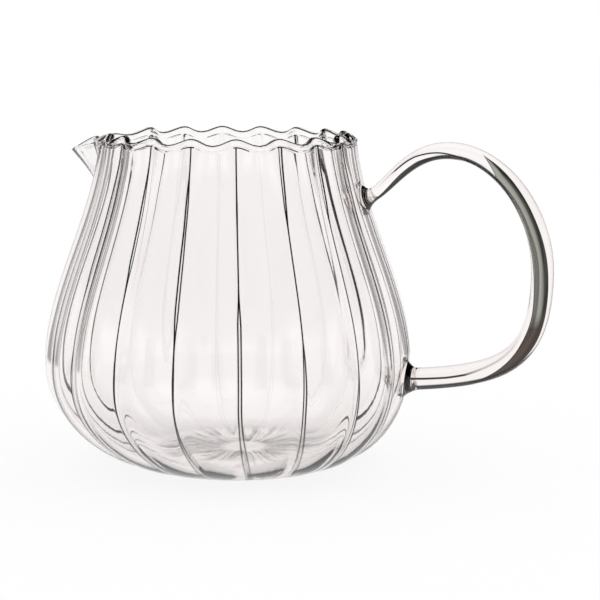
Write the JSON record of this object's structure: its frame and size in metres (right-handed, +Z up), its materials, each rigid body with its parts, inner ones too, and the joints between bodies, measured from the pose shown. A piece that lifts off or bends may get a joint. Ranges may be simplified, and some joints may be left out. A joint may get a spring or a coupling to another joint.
{
  "type": "glass jug",
  "caption": "Clear glass jug with a round fluted belly, a waved scalloped rim, a pinched pouring spout and a looped rod handle.",
  "frame": {"origin": "centre of the flat foot that the jug rests on", "axes": "+Z up along the jug's axis, +X towards the handle, -X towards the spout, +Y completes a right-handed frame"},
  "size_m": [0.1414, 0.101, 0.0931],
  "materials": {
    "clear_glass": "clear, polished, hand-blown"
  },
  "bodies": {
    "root": {"jug": "clear_glass"}
  },
  "joints": []
}
